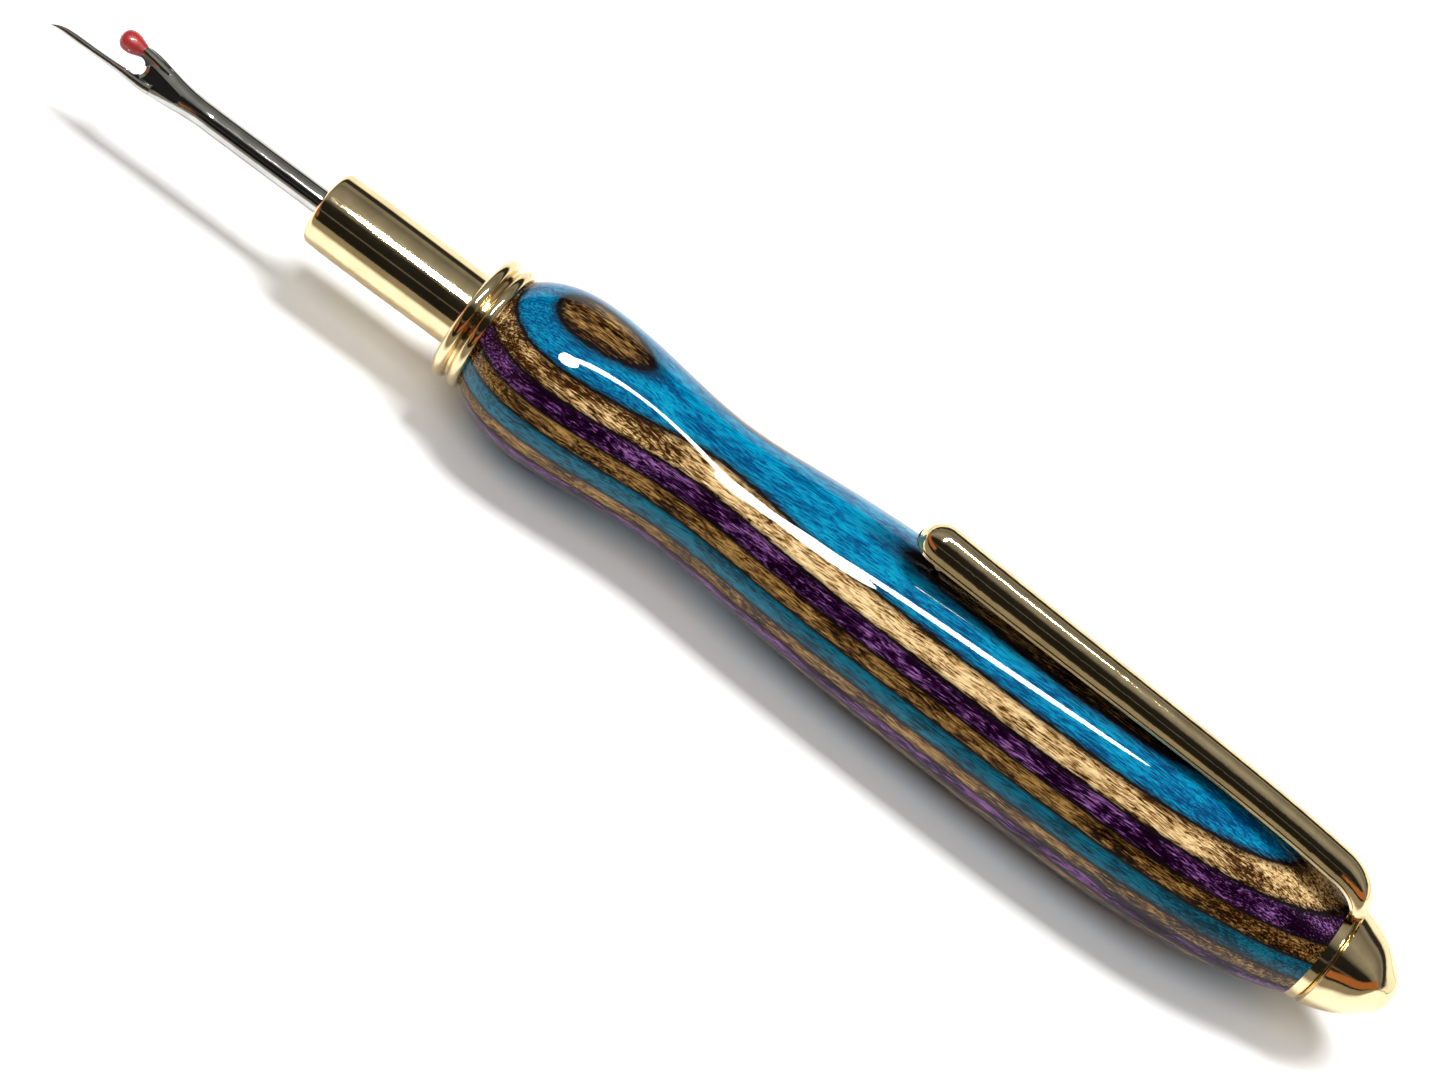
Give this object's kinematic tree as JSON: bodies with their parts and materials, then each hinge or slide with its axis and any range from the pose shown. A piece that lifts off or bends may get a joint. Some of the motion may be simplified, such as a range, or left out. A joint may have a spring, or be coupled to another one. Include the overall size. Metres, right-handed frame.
{
  "type": "seam ripper",
  "caption": "Hand seam ripper: forked blade in a reversible pull-out barrel, turned laminated wood handle and a pocket clip.",
  "frame": {"origin": "on the tool's axis, at the front face of the collar, where the blade holder enters the handle", "axes": "+X runs along the tool from the blade towards the rear cap; +Z points to the side with the clip; -X is the way the blade holder pulls out"},
  "size_m": [0.1387, 0.0166, 0.0205],
  "materials": {
    "gold": "polished pale gold plate",
    "steel": "bright nickel-plated steel",
    "brass": "plain drawn brass",
    "red_plastic": "glossy red enamel ball",
    "nylon": "natural nylon",
    "rubber": "black rubber",
    "wood_brown": "gloss-lacquered brown veneer",
    "wood_blue": "gloss-lacquered blue-dyed veneer",
    "wood_purple": "gloss-lacquered purple-dyed veneer",
    "wood_teal": "gloss-lacquered teal-dyed veneer"
  },
  "bodies": {
    "handle": {"handle_tube": "brass", "collar": "gold", "rear_bush": "brass", "veneer_01_brown": "wood_brown", "veneer_02_blue": "wood_blue", "veneer_03_brown": "wood_brown", "veneer_04_purple": "wood_purple", "veneer_05_brown": "wood_brown", "veneer_06_teal": "wood_teal", "veneer_07_brown": "wood_brown", "veneer_08_purple": "wood_purple", "veneer_09_brown": "wood_brown", "veneer_10_blue": "wood_blue", "veneer_11_brown": "wood_brown"},
    "grip": {"grip_ring": "rubber"},
    "cartridge": {"blade": "steel", "tip_ball": "red_plastic", "barrel": "gold", "barrel_plug": "gold", "shank_bush": "nylon"},
    "clip_base": {"clip_ring": "gold"},
    "clip": {"clip_arm": "gold", "clip_ball": "gold"},
    "washer": {"seal_washer": "rubber"},
    "cap": {"finial": "gold", "finial_stud": "steel"}
  },
  "joints": [
    {"name": "barrel_turn", "type": "hinge", "parent": "handle", "child": "grip", "pos_m": [0.0014, 0, 0], "axis": [-1, 0, 0], "continuous": true},
    {"name": "barrel_pull", "type": "slide", "parent": "grip", "child": "cartridge", "axis": [-1, 0, 0], "range_m": [0, 0.02]},
    {"name": "clip_swivel", "type": "hinge", "parent": "handle", "child": "clip_base", "pos_m": [0.0882, 0, 0], "axis": [1, 0, 0], "continuous": true},
    {"name": "clip_flex", "type": "hinge", "parent": "clip_base", "child": "clip", "pos_m": [0.08805, 0, 0.0052], "axis": [0, 1, 0], "range_deg": [0, 6], "stiffness_Nm_per_rad": 0.5},
    {"name": "cap_lift", "type": "slide", "parent": "handle", "child": "washer", "axis": [1, 0, 0], "range_m": [0, 0.004]},
    {"name": "cap_turn", "type": "hinge", "parent": "washer", "child": "cap", "pos_m": [0.0888, 0, 0], "axis": [-1, 0, 0], "range_deg": [0, 1800]}
  ],
  "couplings": [
    {"joint": "cap_turn", "follows": "cap_lift", "rad_per_m": 7854}
  ]
}
